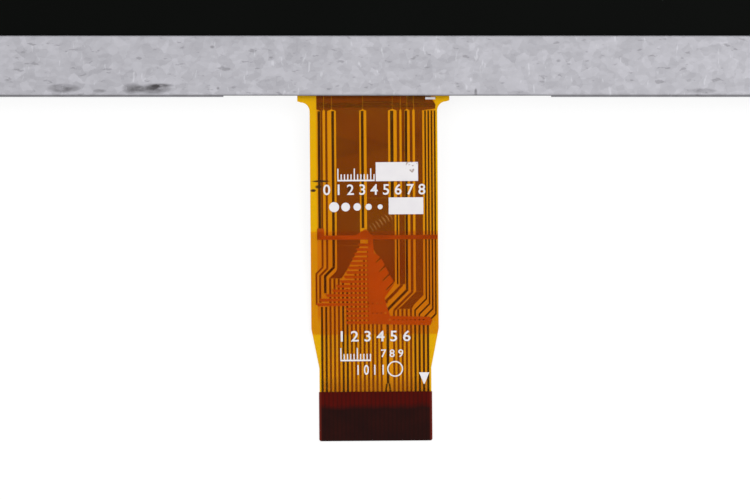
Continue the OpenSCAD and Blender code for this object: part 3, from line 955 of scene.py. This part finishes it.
@dataclass(frozen=True, kw_only=True)
class UsedFilm(Film):
    """Amber film with pale creases and dark rub marks.

    Attributes:
        path: Path of the tail.
        creases: The creases.
        smears: The rub marks, placed by their distances on the tail.
        smear_tone: Colour of the rub marks.
    """

    path: TailPath
    creases: Creases = Creases()
    smears: tuple[Scuff, ...] = (
        Scuff(-10.0, 15.85, 1.9, 0.22, 1.0),
        Scuff(-10.5, 16.9, 0.7, 0.35, 0.9),
        Scuff(-11.5, 17.6, 0.6, 0.3, 0.9),
        Scuff(-4.6, 17.2, 0.5, 1.0, 0.7),
    )
    smear_tone: Colour = srgb(52, 30, 12)

    def marked(self, tree: ShaderTree, film: Socket) -> Socket:
        """The film under its marks.

        Args:
            tree: The material's tree.
            film: Shader of the clean film.

        Returns:
            The marked film.
        """
        pale = tree.principled(Base_Color=self.creases.stroke_stain.colour, Roughness=0.5,
                               Specular_IOR_Level=0.2)
        film = tree.blend(self.creases.mask(tree, self.path), film, pale)
        dark = tree.principled(Base_Color=self.smear_tone, Roughness=0.6, Specular_IOR_Level=0.1)
        rubbed = rub_mask(tree, self.smears, *self.path.coordinates(tree))
        return tree.blend(rubbed, film, dark)


@dataclass(frozen=True)
class TracedCopper(Finish):
    """Copper seen through amber film: a satin metal with a faint lengthways brush and stain.

    Attributes:
        tone: Colour.
        shade: Colour of the stains.
        metal: Metallic share.
        stains: Where the stains lie.
    """

    tone: Colour
    shade: Colour
    metal: float
    stains: Patches = Patches(3.5 * MM, 0.52, 0.4)

    def surface(self, tree: ShaderTree) -> Socket:
        """Mixes the tone and the shade by stains and long brush strokes.

        Args:
            tree: The material's tree.

        Returns:
            The shader.
        """
        brushed = tree.noise(0.5 * MM, 2.0, (1.0, 0.08, 1.0))
        level = (self.stains.mask(tree) * 0.6 + brushed.over(0.5, 0.5) * 0.4).clamp()
        return tree.principled(
            Base_Color=tree.mix(level, self.tone, self.shade), Metallic=self.metal,
            Roughness=brushed.about(0.48, 0.2), Specular_IOR_Level=0.06,
            Normal=tree.bump(brushed, 0.003 * MM),
        )


@dataclass(frozen=True)
class Stiffener(Finish):
    """Dark red-brown stiffener through which the contact fingers show as faint lines.

    Attributes:
        path: Path of the tail.
        top: Distance from the bezel's edge to the stiffener's upper edge.
        half_width: Half of its width.
        pitch: Pitch of the fingers.
        red_band: Height of the redder band along the upper edge.
        red: Two shades of that band.
        brown: Two shades of the rest.
        finger: Colour over the fingers.
        rim: Colour of the thin rims at the sides.
    """

    path: TailPath
    top: float
    half_width: float
    pitch: float
    red_band: float = 2.8 * MM
    red: tuple[Colour, Colour] = (srgb(72, 9, 5), srgb(60, 8, 4))
    brown: tuple[Colour, Colour] = (srgb(27, 10, 9), srgb(38, 12, 9))
    finger: Stain = Stain(srgb(20, 11, 8), 0.34)
    rim: Stain = Stain(srgb(108, 34, 24), 0.75)

    def surface(self, tree: ShaderTree) -> Socket:
        """Mixes the two shades of each band, and lays the fingers and the rims over them.

        Args:
            tree: The material's tree.

        Returns:
            The shader.
        """
        across, along = self.path.coordinates(tree)
        wave = (across * (math.tau / self.pitch)).maths("COSINE") * 0.5 + 0.5
        fine = tree.noise(0.5 * MM, 3.0)
        clouds = tree.noise(5 * MM, 3.0)
        brown = tree.mix(clouds.over(0.5, 0.5), *self.brown)
        red = tree.mix(clouds.over(0.5, 0.5), *self.red)
        lower = (along + (clouds - 0.5) * 2 * MM).over(self.top + self.red_band, 1.1 * MM)
        colour = tree.mix(lower, red, brown)
        colour = tree.stained(colour, wave.over(0.75, 0.5), self.finger)
        rim = across.maths("ABSOLUTE").over(self.half_width - 0.35 * MM, 0.5 * MM)
        colour = tree.stained(colour, rim, self.rim)
        return tree.principled(
            Base_Color=colour, Roughness=fine.about(0.4, 0.1), Specular_IOR_Level=0.03,
            Normal=tree.bump(fine * 0.3 + wave * 0.7, 0.006 * MM),
        )


@dataclass(frozen=True)
class WhiteInk(Finish):
    """Screen-printed white ink with pinholes, and one corner that is more worn.

    Attributes:
        path: Path of the tail.
        tones: Two shades of white.
        clouds: Where the second shade lies.
        hole: Colour of the pinholes.
        worn_at: Place of the worn corner on the tail, across and along.
        worn_radius: How far the wear reaches.
    """

    path: TailPath
    tones: tuple[Colour, Colour] = (srgb(208, 205, 206), srgb(200, 197, 200))
    clouds: Patches = Patches(3 * MM, 0.5, 0.6, 2.0)
    hole: Stain = Stain(srgb(126, 104, 92), 0.75)
    worn_at: Point = (7.1 * MM, 13.1 * MM)
    worn_radius: float = 2.0 * MM

    def surface(self, tree: ShaderTree) -> Socket:
        """Mixes the two whites, and lays the pinholes over them, closest at the worn corner.

        Args:
            tree: The material's tree.

        Returns:
            The shader.
        """
        grain = tree.noise(0.7 * MM, 4.0)
        colour = tree.mix(self.clouds.mask(tree), *self.tones)
        across, along = self.path.coordinates(tree)
        across, along = across - self.worn_at[0], along - self.worn_at[1]
        squared = across * across + along * along
        corner = (1.0 - squared * (1.0 / self.worn_radius ** 2)).clamp()
        holes = (grain + corner * 0.24).over(0.77, 0.06)
        return tree.principled(
            Base_Color=tree.stained(colour, holes, self.hole),
            Roughness=0.55, Specular_IOR_Level=0.2,
            Normal=tree.bump(grain, 0.006 * MM),
        )


@dataclass(frozen=True)
class ClearSheet(Finish):
    """Clear glass or acrylic, tinted a little, with a gloss that follows the angle of view.

    Attributes:
        tint: Colour that one face lets through.
        rough: Roughness of the gloss.
        bend: Index of refraction, which sets how fast the gloss grows.
    """

    tint: Colour
    rough: float = 0.08
    bend: float = 1.45

    def surface(self, tree: ShaderTree) -> Socket:
        """Blends the clear sheet with a gloss that is weak from the front.

        Args:
            tree: The material's tree.

        Returns:
            The shader.
        """
        clouds = tree.noise(9 * MM, 2.0)
        edge = tree.wire(tree.node("ShaderNodeFresnel", inputs={"IOR": self.bend}).outputs[0])
        share = (edge * 0.9 + (clouds - 0.5) * 0.04).clamp()
        shine = tree.shine(Roughness=self.rough)
        return tree.blend(share, tree.see_through(self.tint), shine)


# ---- Sub-assemblies ----


Finishes = list[tuple[Finish, Sequence[str]]]  # each with the nodes that share it


@dataclass
class Assembly(ABC):
    """Nodes of the frame that are dressed together.

    Attributes:
        nodes: Every node's object, by name.
    """

    nodes: dict[str, Piece]

    @abstractmethod
    def finishes(self) -> Finishes:
        """Each finish with the nodes that share it."""

    def dress(self) -> None:
        """Builds each finish once and gives it to its nodes."""
        for finish, names in self.finishes():
            material = finish.build()
            for name in names:
                dress(self.nodes[name], material)


@dataclass
class Housing(Assembly):
    """Front bezel, rear cover, moulded frame and foam.

    Attributes:
        scuffs: Rub marks on the bezel.
        bend_shade_depth: Depth under the front face at which the painted shade on the bend begins.
    """

    scuffs: tuple[Scuff, ...] = (
        Scuff(-58.8, -50.4, 3.3, 0.95, 0.85),
        Scuff(-52.0, -50.9, 1.4, 0.45, 0.7),
        Scuff(-45.8, -50.5, 2.2, 1.15, 0.8),
        Scuff(-41.9, -50.5, 3.6, 1.1, 0.95),
        Scuff(-40.2, -49.9, 2.4, 0.5, 0.7),
        Scuff(61.5, -50.9, 3.0, 0.55, 0.75),
        Scuff(-30.8, -42.6, 0.5, 0.35, 0.6),
        Scuff(-29.7, -50.4, 0.35, 0.35, 0.7),
        Scuff(18.9, -51.2, 0.35, 0.9, 0.95),
        Scuff(-66.5, -43.6, 0.5, 0.3, 0.4),
        Scuff(34.5, -45.2, 0.5, 0.35, 0.4),
    )
    bend_shade_depth: float = 0.12 * MM

    def window(self, face: float) -> Opening:
        """Opening of the bezel, from the corners of its front face nearest the middle.

        Args:
            face: Height of the front face.

        Returns:
            The opening's edges.
        """
        reach_x, reach_y, under_face = 40 * MM, 20 * MM, 0.05 * MM
        points = vertices(self.nodes["front_bezel"].data)
        x, y = points[points[:, 2] > face - under_face, :2].T
        return (float(x[x < -reach_x].max()), float(x[x > reach_x].min()),
                float(y[y < -reach_y].max()), float(y[y > reach_y].min()))

    def finishes(self) -> Finishes:
        """The zinc sheets, the moulding and the foam.

        Returns:
            Each finish with the nodes that share it.
        """
        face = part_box("front_bezel")[1].z
        zinc = SpangledZinc("zinc_sheet", scuffs=self.scuffs, bend_shade_from=face - self.bend_shade_depth,
                            window=self.window(face))
        foam = Plain("black_foam", srgb(24, 24, 25), 0.9, grain=0.3 * MM, grain_depth=0.05 * MM)
        return [
            (zinc, ["front_bezel"]),
            (SpangledZinc("zinc_cover", grain=2.3 * MM), ["rear_cover"]),
            (Plain("white_moulding", srgb(232, 232, 228), 0.5), ["mould_frame"]),
            (foam, ["bezel_cushion"]),
        ]


@dataclass
class Cell(Assembly):
    """The glass cell with its polarisers and driver chips."""

    def finishes(self) -> Finishes:
        """The dark screen, the glass and the silicon.

        Returns:
            Each finish with the nodes that share it.
        """
        silicon = Plain("silicon", srgb(70, 74, 82), 0.25, metal=0.6, mottle=0.06)
        return [
            (ScreenFace("screen_face"), ["front_polarizer"]),
            (Plain("rear_polarizer", srgb(30, 31, 36), 0.35), ["rear_polarizer"]),
            (ClearSheet("cell_glass", (0.8, 0.87, 0.84)), ["colour_filter_glass", "tft_glass"]),
            (silicon, ["source_driver_chips", "gate_driver_chip"]),
        ]


@dataclass
class Backlight(Assembly):
    """Light guide, optical films, reflector and LED strip."""

    def finishes(self) -> Finishes:
        """The films, the light guide and the LED strip.

        Returns:
            Each finish with the nodes that share it.
        """
        frosted = Plain("frosted_film", srgb(238, 238, 238), 0.6, mottle=0.03)
        prisms = Plain("prism_film", srgb(225, 228, 232), 0.3, mottle=0.04)
        mirror = Plain("reflector", srgb(242, 242, 242), 0.35, mottle=0.02)
        return [
            (frosted, ["upper_diffuser", "lower_diffuser"]),
            (prisms, ["upper_prism_sheet", "lower_prism_sheet"]),
            (ClearSheet("acrylic", (0.93, 0.96, 0.96)), ["light_guide"]),
            (mirror, ["reflector_sheet"]),
            (Plain("led_board", srgb(226, 214, 168), 0.5), ["led_board"]),
            (Plain("led_body", srgb(240, 226, 170), 0.4), ["leds"]),
            (Plain("black_tape", srgb(14, 14, 15), 0.7), ["rim_tape"]),
        ]


class Sign(Enum):
    """Generic marks that the screen print can hold."""

    TICKS = "ticks"
    DIGITS = "digits"
    RING = "ring"
    DOTS = "dots"


@dataclass(frozen=True)
class Mark:
    """One printed mark on the tail, with its sizes in millimetres.

    Attributes:
        name: The piece's name.
        sign: What it shows.
        across: Sideways place of its left end, or of its middle for a ring.
        along: Place of its lower edge, or of its middle for a ring, from the bezel's edge.
        width: Width, or outside radius of a ring.
        height: Height, or line width of a ring.
        words: The numerals of a row of digits.
        on_patch: True where it is printed on the front coverlay.
    """

    name: str
    sign: Sign
    across: float
    along: float
    width: float
    height: float
    words: str = ""
    on_patch: bool = False


@dataclass
class ScreenPrint:
    """White generic print on the tail: numerals, scales, dots and a ring, none of them a maker's.

    Attributes:
        path: Path of the tail.
        ink: Material of the print.
        patch: Height of the front coverlay over the film.
        thickness: Thickness of the ink.
        lift: Height of the ink's face over what it is printed on, in thicknesses.
        marks: The marks.
    """

    path: TailPath
    ink: Material
    patch: float
    thickness: float = 0.02 * MM
    lift: float = 1.1
    marks: tuple[Mark, ...] = (
        Mark("print_scale", Sign.TICKS, -6.9, 15.9, 6.9, 2.4),
        Mark("print_numerals", Sign.DIGITS, -9.6, 18.5, 19.3, 2.05, "0 1 2 3 4 5 6 7 8"),
        Mark("print_dots", Sign.DOTS, -8.5, 21.7, 10.6, 1.9),
        Mark("print_count", Sign.DIGITS, -6.5, 46.2, 13.2, 2.05, "1 2 3 4 5 6", on_patch=True),
        Mark("print_small_scale", Sign.TICKS, -6.6, 49.9, 5.7, 2.5),
        Mark("print_small_numerals", Sign.DIGITS, 1.1, 49.2, 4.2, 1.5, "7 8 9"),
        Mark("print_last_numerals", Sign.DIGITS, -3.4, 52.5, 5.0, 1.9, "1 0 1 1"),
        Mark("print_ring", Sign.RING, 3.75, 51.4, 1.5, 0.24),
    )

    def build(self) -> None:
        """Makes every mark."""
        makers: dict[Sign, Callable[[Mark], Outline]] = {
            Sign.TICKS: self.ticks,
            Sign.DIGITS: self.digits,
            Sign.RING: self.ring,
            Sign.DOTS: self.dots,
        }
        for mark in self.marks:
            flat, faces = makers[mark.sign](mark)
            lift = self.thickness * self.lift + (self.patch if mark.on_patch else 0.0)
            points = self.path.place(flat[:, 0] * MM, flat[:, 1] * MM, lift)
            piece = new_piece(mark.name, points, faces, self.ink)
            solid = piece.modifiers.new("ink", "SOLIDIFY")
            solid.thickness = self.thickness
            solid.offset = -1.0
            LOG.info("%s: %d faces", mark.name, len(faces))

    @staticmethod
    def ticks(mark: Mark) -> Outline:
        """A plain scale: a base line and upright ticks, every fifth one full height.

        Each is a rectangle with the corners (left, low), (right, low), (right, top) and
        (left, top), the last rectangle being the base line.

        Args:
            mark: The mark.

        Returns:
            Its points and faces.
        """
        step, line, base_line, overlap = 0.62, 0.22, 0.3, 0.02
        short = 0.55  # height of the other ticks, as a share of the full height
        index = np.arange(int(mark.width / step) + 1)
        x = mark.across + index * step
        tall = np.where(index % 5 == 0, mark.height, mark.height * short)
        base = mark.along - base_line
        left = np.append(x, mark.across)
        right = np.append(x + line, x[-1] + line)
        top = np.append(mark.along - tall, base)
        low = np.append(np.full(len(x), base - overlap), mark.along)
        corners = [np.column_stack(pair)
                   for pair in ((left, low), (right, low), (right, top), (left, top))]
        faces = (np.arange(len(left))[:, None] * 4 + np.arange(4)).tolist()
        return np.stack(corners, axis=1).reshape(-1, 2), faces

    @staticmethod
    def dots(mark: Mark) -> Outline:
        """A row of round dots, each a ring of points and smaller than the one before.

        Args:
            mark: The mark.

        Returns:
            Its points and faces.
        """
        count, sides, smallest = 5, 24, 0.5
        radius = mark.height / 2
        angle = np.linspace(0, math.tau, sides, endpoint=False)
        middle = mark.across + radius + np.arange(count) * (mark.width - 2 * radius) / (count - 1)
        size = radius * np.linspace(1.0, smallest, count)
        x = middle[:, None] + size[:, None] * np.cos(angle)
        y = (mark.along - radius) - size[:, None] * np.sin(angle)
        faces = (np.arange(count)[:, None] * sides + np.arange(sides)).tolist()
        return np.column_stack([x.ravel(), y.ravel()]), faces

    @staticmethod
    def ring(mark: Mark) -> Outline:
        """A ring: points on two circles, joined by four-sided faces.

        Args:
            mark: The mark.

        Returns:
            Its points and faces.
        """
        sides = 64
        angle = np.linspace(0, math.tau, sides, endpoint=False)
        radii = np.array([mark.width - mark.height, mark.width])
        x = mark.across + radii[:, None] * np.cos(angle)
        y = mark.along - radii[:, None] * np.sin(angle)
        here = np.arange(sides)
        after = (here + 1) % sides
        faces = np.column_stack([here, sides + here, sides + after, after]).tolist()
        return np.column_stack([x.ravel(), y.ravel()]), faces

    @staticmethod
    def digits(mark: Mark) -> Outline:
        """Plain numerals from the built-in font, fitted to the mark's width and height.

        Args:
            mark: The mark.

        Returns:
            Its points and faces.
        """
        curve = bpy.data.curves.new(mark.name + "_curve", "FONT")
        curve.body = mark.words
        curve.resolution_u = 3
        curve.offset = 0.012  # makes the strokes a little bolder
        writer = bpy.data.objects.new(mark.name + "_writer", curve)
        bpy.context.scene.collection.objects.link(writer)
        bpy.context.view_layer.update()
        shown = writer.evaluated_get(bpy.context.evaluated_depsgraph_get())
        mesh = bpy.data.meshes.new_from_object(shown)
        flat = vertices(mesh)[:, :2]
        faces = [list(face.vertices) for face in mesh.polygons]
        bpy.data.objects.remove(writer)
        bpy.data.curves.remove(curve)
        bpy.data.meshes.remove(mesh)
        low, high = flat.min(0), flat.max(0)
        share = (flat - low) / (high - low)
        return np.column_stack([mark.across + share[:, 0] * mark.width,
                                mark.along - share[:, 1] * mark.height]), faces


@dataclass
class Tail(Assembly):
    """The flexible tail: films, copper, stiffener and print.

    Attributes:
        skew_deg: Angle at which the tail is bonded.
        root_x: Sideways place of its middle at the bezel's edge.
        pitch: Pitch of the contact fingers.
        path: Its path, read from the frame.
    """

    skew_deg: float = 0.44
    root_x: float = -0.43 * MM
    pitch: float = 0.8 * MM
    path: TailPath = field(init=False)

    def __post_init__(self) -> None:
        """Reads the tail's path from the frame."""
        root = (self.root_x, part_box("front_bezel")[0].y)
        self.path = TailPath.from_film(self.nodes["flex_base_film"], root, self.skew_deg)

    def finishes(self) -> Finishes:
        """The films, the copper, the stiffener and the tape.

        Returns:
            Each finish with the nodes that share it.
        """
        low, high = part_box("flex_stiffener")
        top, half_width = self.path.root[1] - high.y, (high.x - low.x) / 2
        return [
            (UsedFilm("base_film", (0.96, 0.925, 0.3), srgb(226, 168, 22), 0.02, 0.006,
                      path=self.path), ["flex_base_film"]),
            # The rear coverlay carries the painted shade of the copper.
            (Film("rear_coverlay", (0.93, 0.76, 0.2), srgb(230, 188, 30), 0.72, 0.01,
                  CopperShade(self.path)), ["flex_rear_coverlay"]),
            (Film("front_coverlay", (1.0, 0.9, 0.6), srgb(220, 110, 4), 0.015, 0.004),
             ["flex_front_coverlay"]),
            (TracedCopper("signal_copper", srgb(112, 47, 5), srgb(102, 41, 4), 0.25),
             ["flex_signal_traces"]),
            (TracedCopper("power_copper", srgb(58, 17, 1), srgb(47, 13, 1), 0.05),
             ["flex_power_traces"]),
            (TracedCopper("jumper_copper", srgb(158, 66, 2), srgb(145, 59, 1), 0.1),
             ["flex_jumpers"]),
            (Stiffener("stiffener", self.path, top, half_width, self.pitch), ["flex_stiffener"]),
            (Plain("bond_tape", srgb(160, 140, 110), 0.6), ["flex_bond_tape"]),
        ]

    def dress(self) -> None:
        """Finishes the nodes of the tail, and prints on it with the ink of its own marks."""
        super().dress()
        ink = WhiteInk("white_ink", self.path).build()
        dress(self.nodes["flex_legend"], ink)
        patch = self.path.lift_of(self.nodes["flex_front_coverlay"])
        ScreenPrint(self.path, ink, patch).build()


# ---- Studio ----


@dataclass(frozen=True)
class Lamp:
    """A square soft lamp that looks at the middle of the module and its tail.

    Attributes:
        name: Its name.
        place: Where it hangs.
        power: Power in watts.
        size: Length of a side.
    """

    name: str
    place: tuple[float, float, float]
    power: float
    size: float

    def build(self) -> None:
        """Makes the lamp; its -Z axis is turned to the target by its tilt and its bearing."""
        target = np.array([0.0, -50 * MM, 0.0])
        data = bpy.data.lights.new(self.name, "AREA")
        data.energy = self.power
        data.size = self.size
        lamp = bpy.data.objects.new(self.name, data)
        lamp.location = self.place
        x, y, z = target - np.array(self.place)
        bearing = math.atan2(y, x) - math.pi / 2
        lamp.rotation_euler = (math.atan2(math.hypot(x, y), -z), 0.0, bearing)
        bpy.context.scene.collection.objects.link(lamp)


@dataclass
class Studio:
    """Pale floor, soft light and a long lens that looks straight down on the tail.

    Attributes:
        view_width: Width of the view at the height of the aim.
        lens: Focal length, in millimetres.
        sensor: Width of the sensor, in millimetres.
        aim: Point at the middle of the view.
        floor_size: Half of the floor's width.
        floor_drop: Depth of the floor under the module, so that the two don't touch.
        glow: Share of the floor that shows plain white; the rest keeps the shadow.
        surround: Strength of the white surround.
        lamps: The two soft lamps, over the far and the near side.
    """

    view_width: float = 141.5 * MM
    lens: float = 500.0
    sensor: float = 36.0
    aim: tuple[float, float, float] = (-0.1 * MM, -80.9 * MM, 5.0 * MM)
    floor_size: float = 3.0
    floor_drop: float = 0.02 * MM
    glow: float = 0.87
    surround: float = 0.55
    lamps: tuple[Lamp, ...] = (
        Lamp("key", (0.5, 0.35, 0.9), 9.0, 0.7),
        Lamp("fill", (-0.55, -0.5, 0.8), 5.0, 0.8),
    )

    def build(self) -> None:
        """Makes the camera, the floor, the world and the lamps."""
        self.camera()
        self.floor()
        self.world()
        for lamp in self.lamps:
            lamp.build()
        bpy.context.scene.view_settings.view_transform = "Standard"

    def camera(self) -> None:
        """Places the camera so that the view is as wide as asked at the height of the aim."""
        data = bpy.data.cameras.new("camera")
        data.lens = self.lens
        data.sensor_width = self.sensor
        data.clip_start, data.clip_end = 0.01, 20.0
        camera = bpy.data.objects.new("camera", data)
        distance = self.view_width * self.lens / self.sensor
        camera.location = (self.aim[0], self.aim[1], self.aim[2] + distance)
        bpy.context.scene.collection.objects.link(camera)
        bpy.context.scene.camera = camera

    def floor(self) -> None:
        """A pale floor that shows white and keeps part of the object's shadow."""
        size = self.floor_size
        corners = [(-size, -size, 0), (size, -size, 0), (size, size, 0), (-size, size, 0)]
        mesh = bpy.data.meshes.new("floor")
        mesh.from_pydata(corners, [], [(0, 1, 2, 3)])
        floor = bpy.data.objects.new("floor", mesh)
        floor.location.z = -self.floor_drop
        bpy.context.scene.collection.objects.link(floor)
        tree = ShaderTree("floor")
        matt = tree.principled(Base_Color=(0.9, 0.9, 0.9), Roughness=0.9, Specular_IOR_Level=0.0)
        sockets = {"Color": WHITE, "Strength": 1.0}
        glow = tree.node("ShaderNodeEmission", inputs=sockets).outputs[0]
        mesh.materials.append(tree.finish(tree.blend(self.seen_ray(tree) * self.glow, matt, glow)))

    @staticmethod
    def seen_ray(tree: ShaderTree) -> Wire:
        """Which rays look at the floor, rather than light the object from it.

        Args:
            tree: The floor's tree.

        Returns:
            1 for rays that the camera, a reflection or a clear body sends, and 0 for others.
        """
        rays = tree.node("ShaderNodeLightPath")
        camera, glossy, clear = (
            tree.wire(rays.outputs[f"Is {kind} Ray"])
            for kind in ("Camera", "Glossy", "Transmission")
        )
        return (camera + glossy + clear).clamp()

    def world(self) -> None:
        """A plain white surround."""
        world = bpy.data.worlds.new("surround")
        world.use_nodes = True
        sockets = world.node_tree.nodes["Background"].inputs
        sockets["Color"].default_value = (*WHITE, 1.0)
        sockets["Strength"].default_value = self.surround
        bpy.context.scene.world = world


def main() -> None:
    """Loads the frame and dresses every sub-assembly."""
    logging.basicConfig(level=logging.INFO, format="%(message)s")
    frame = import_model()
    nodes = frame["nodes"]
    Studio().build()
    Housing(nodes).dress()
    Cell(nodes).dress()
    Backlight(nodes).dress()
    Tail(nodes).dress()


if __name__ == "__main__":
    main()
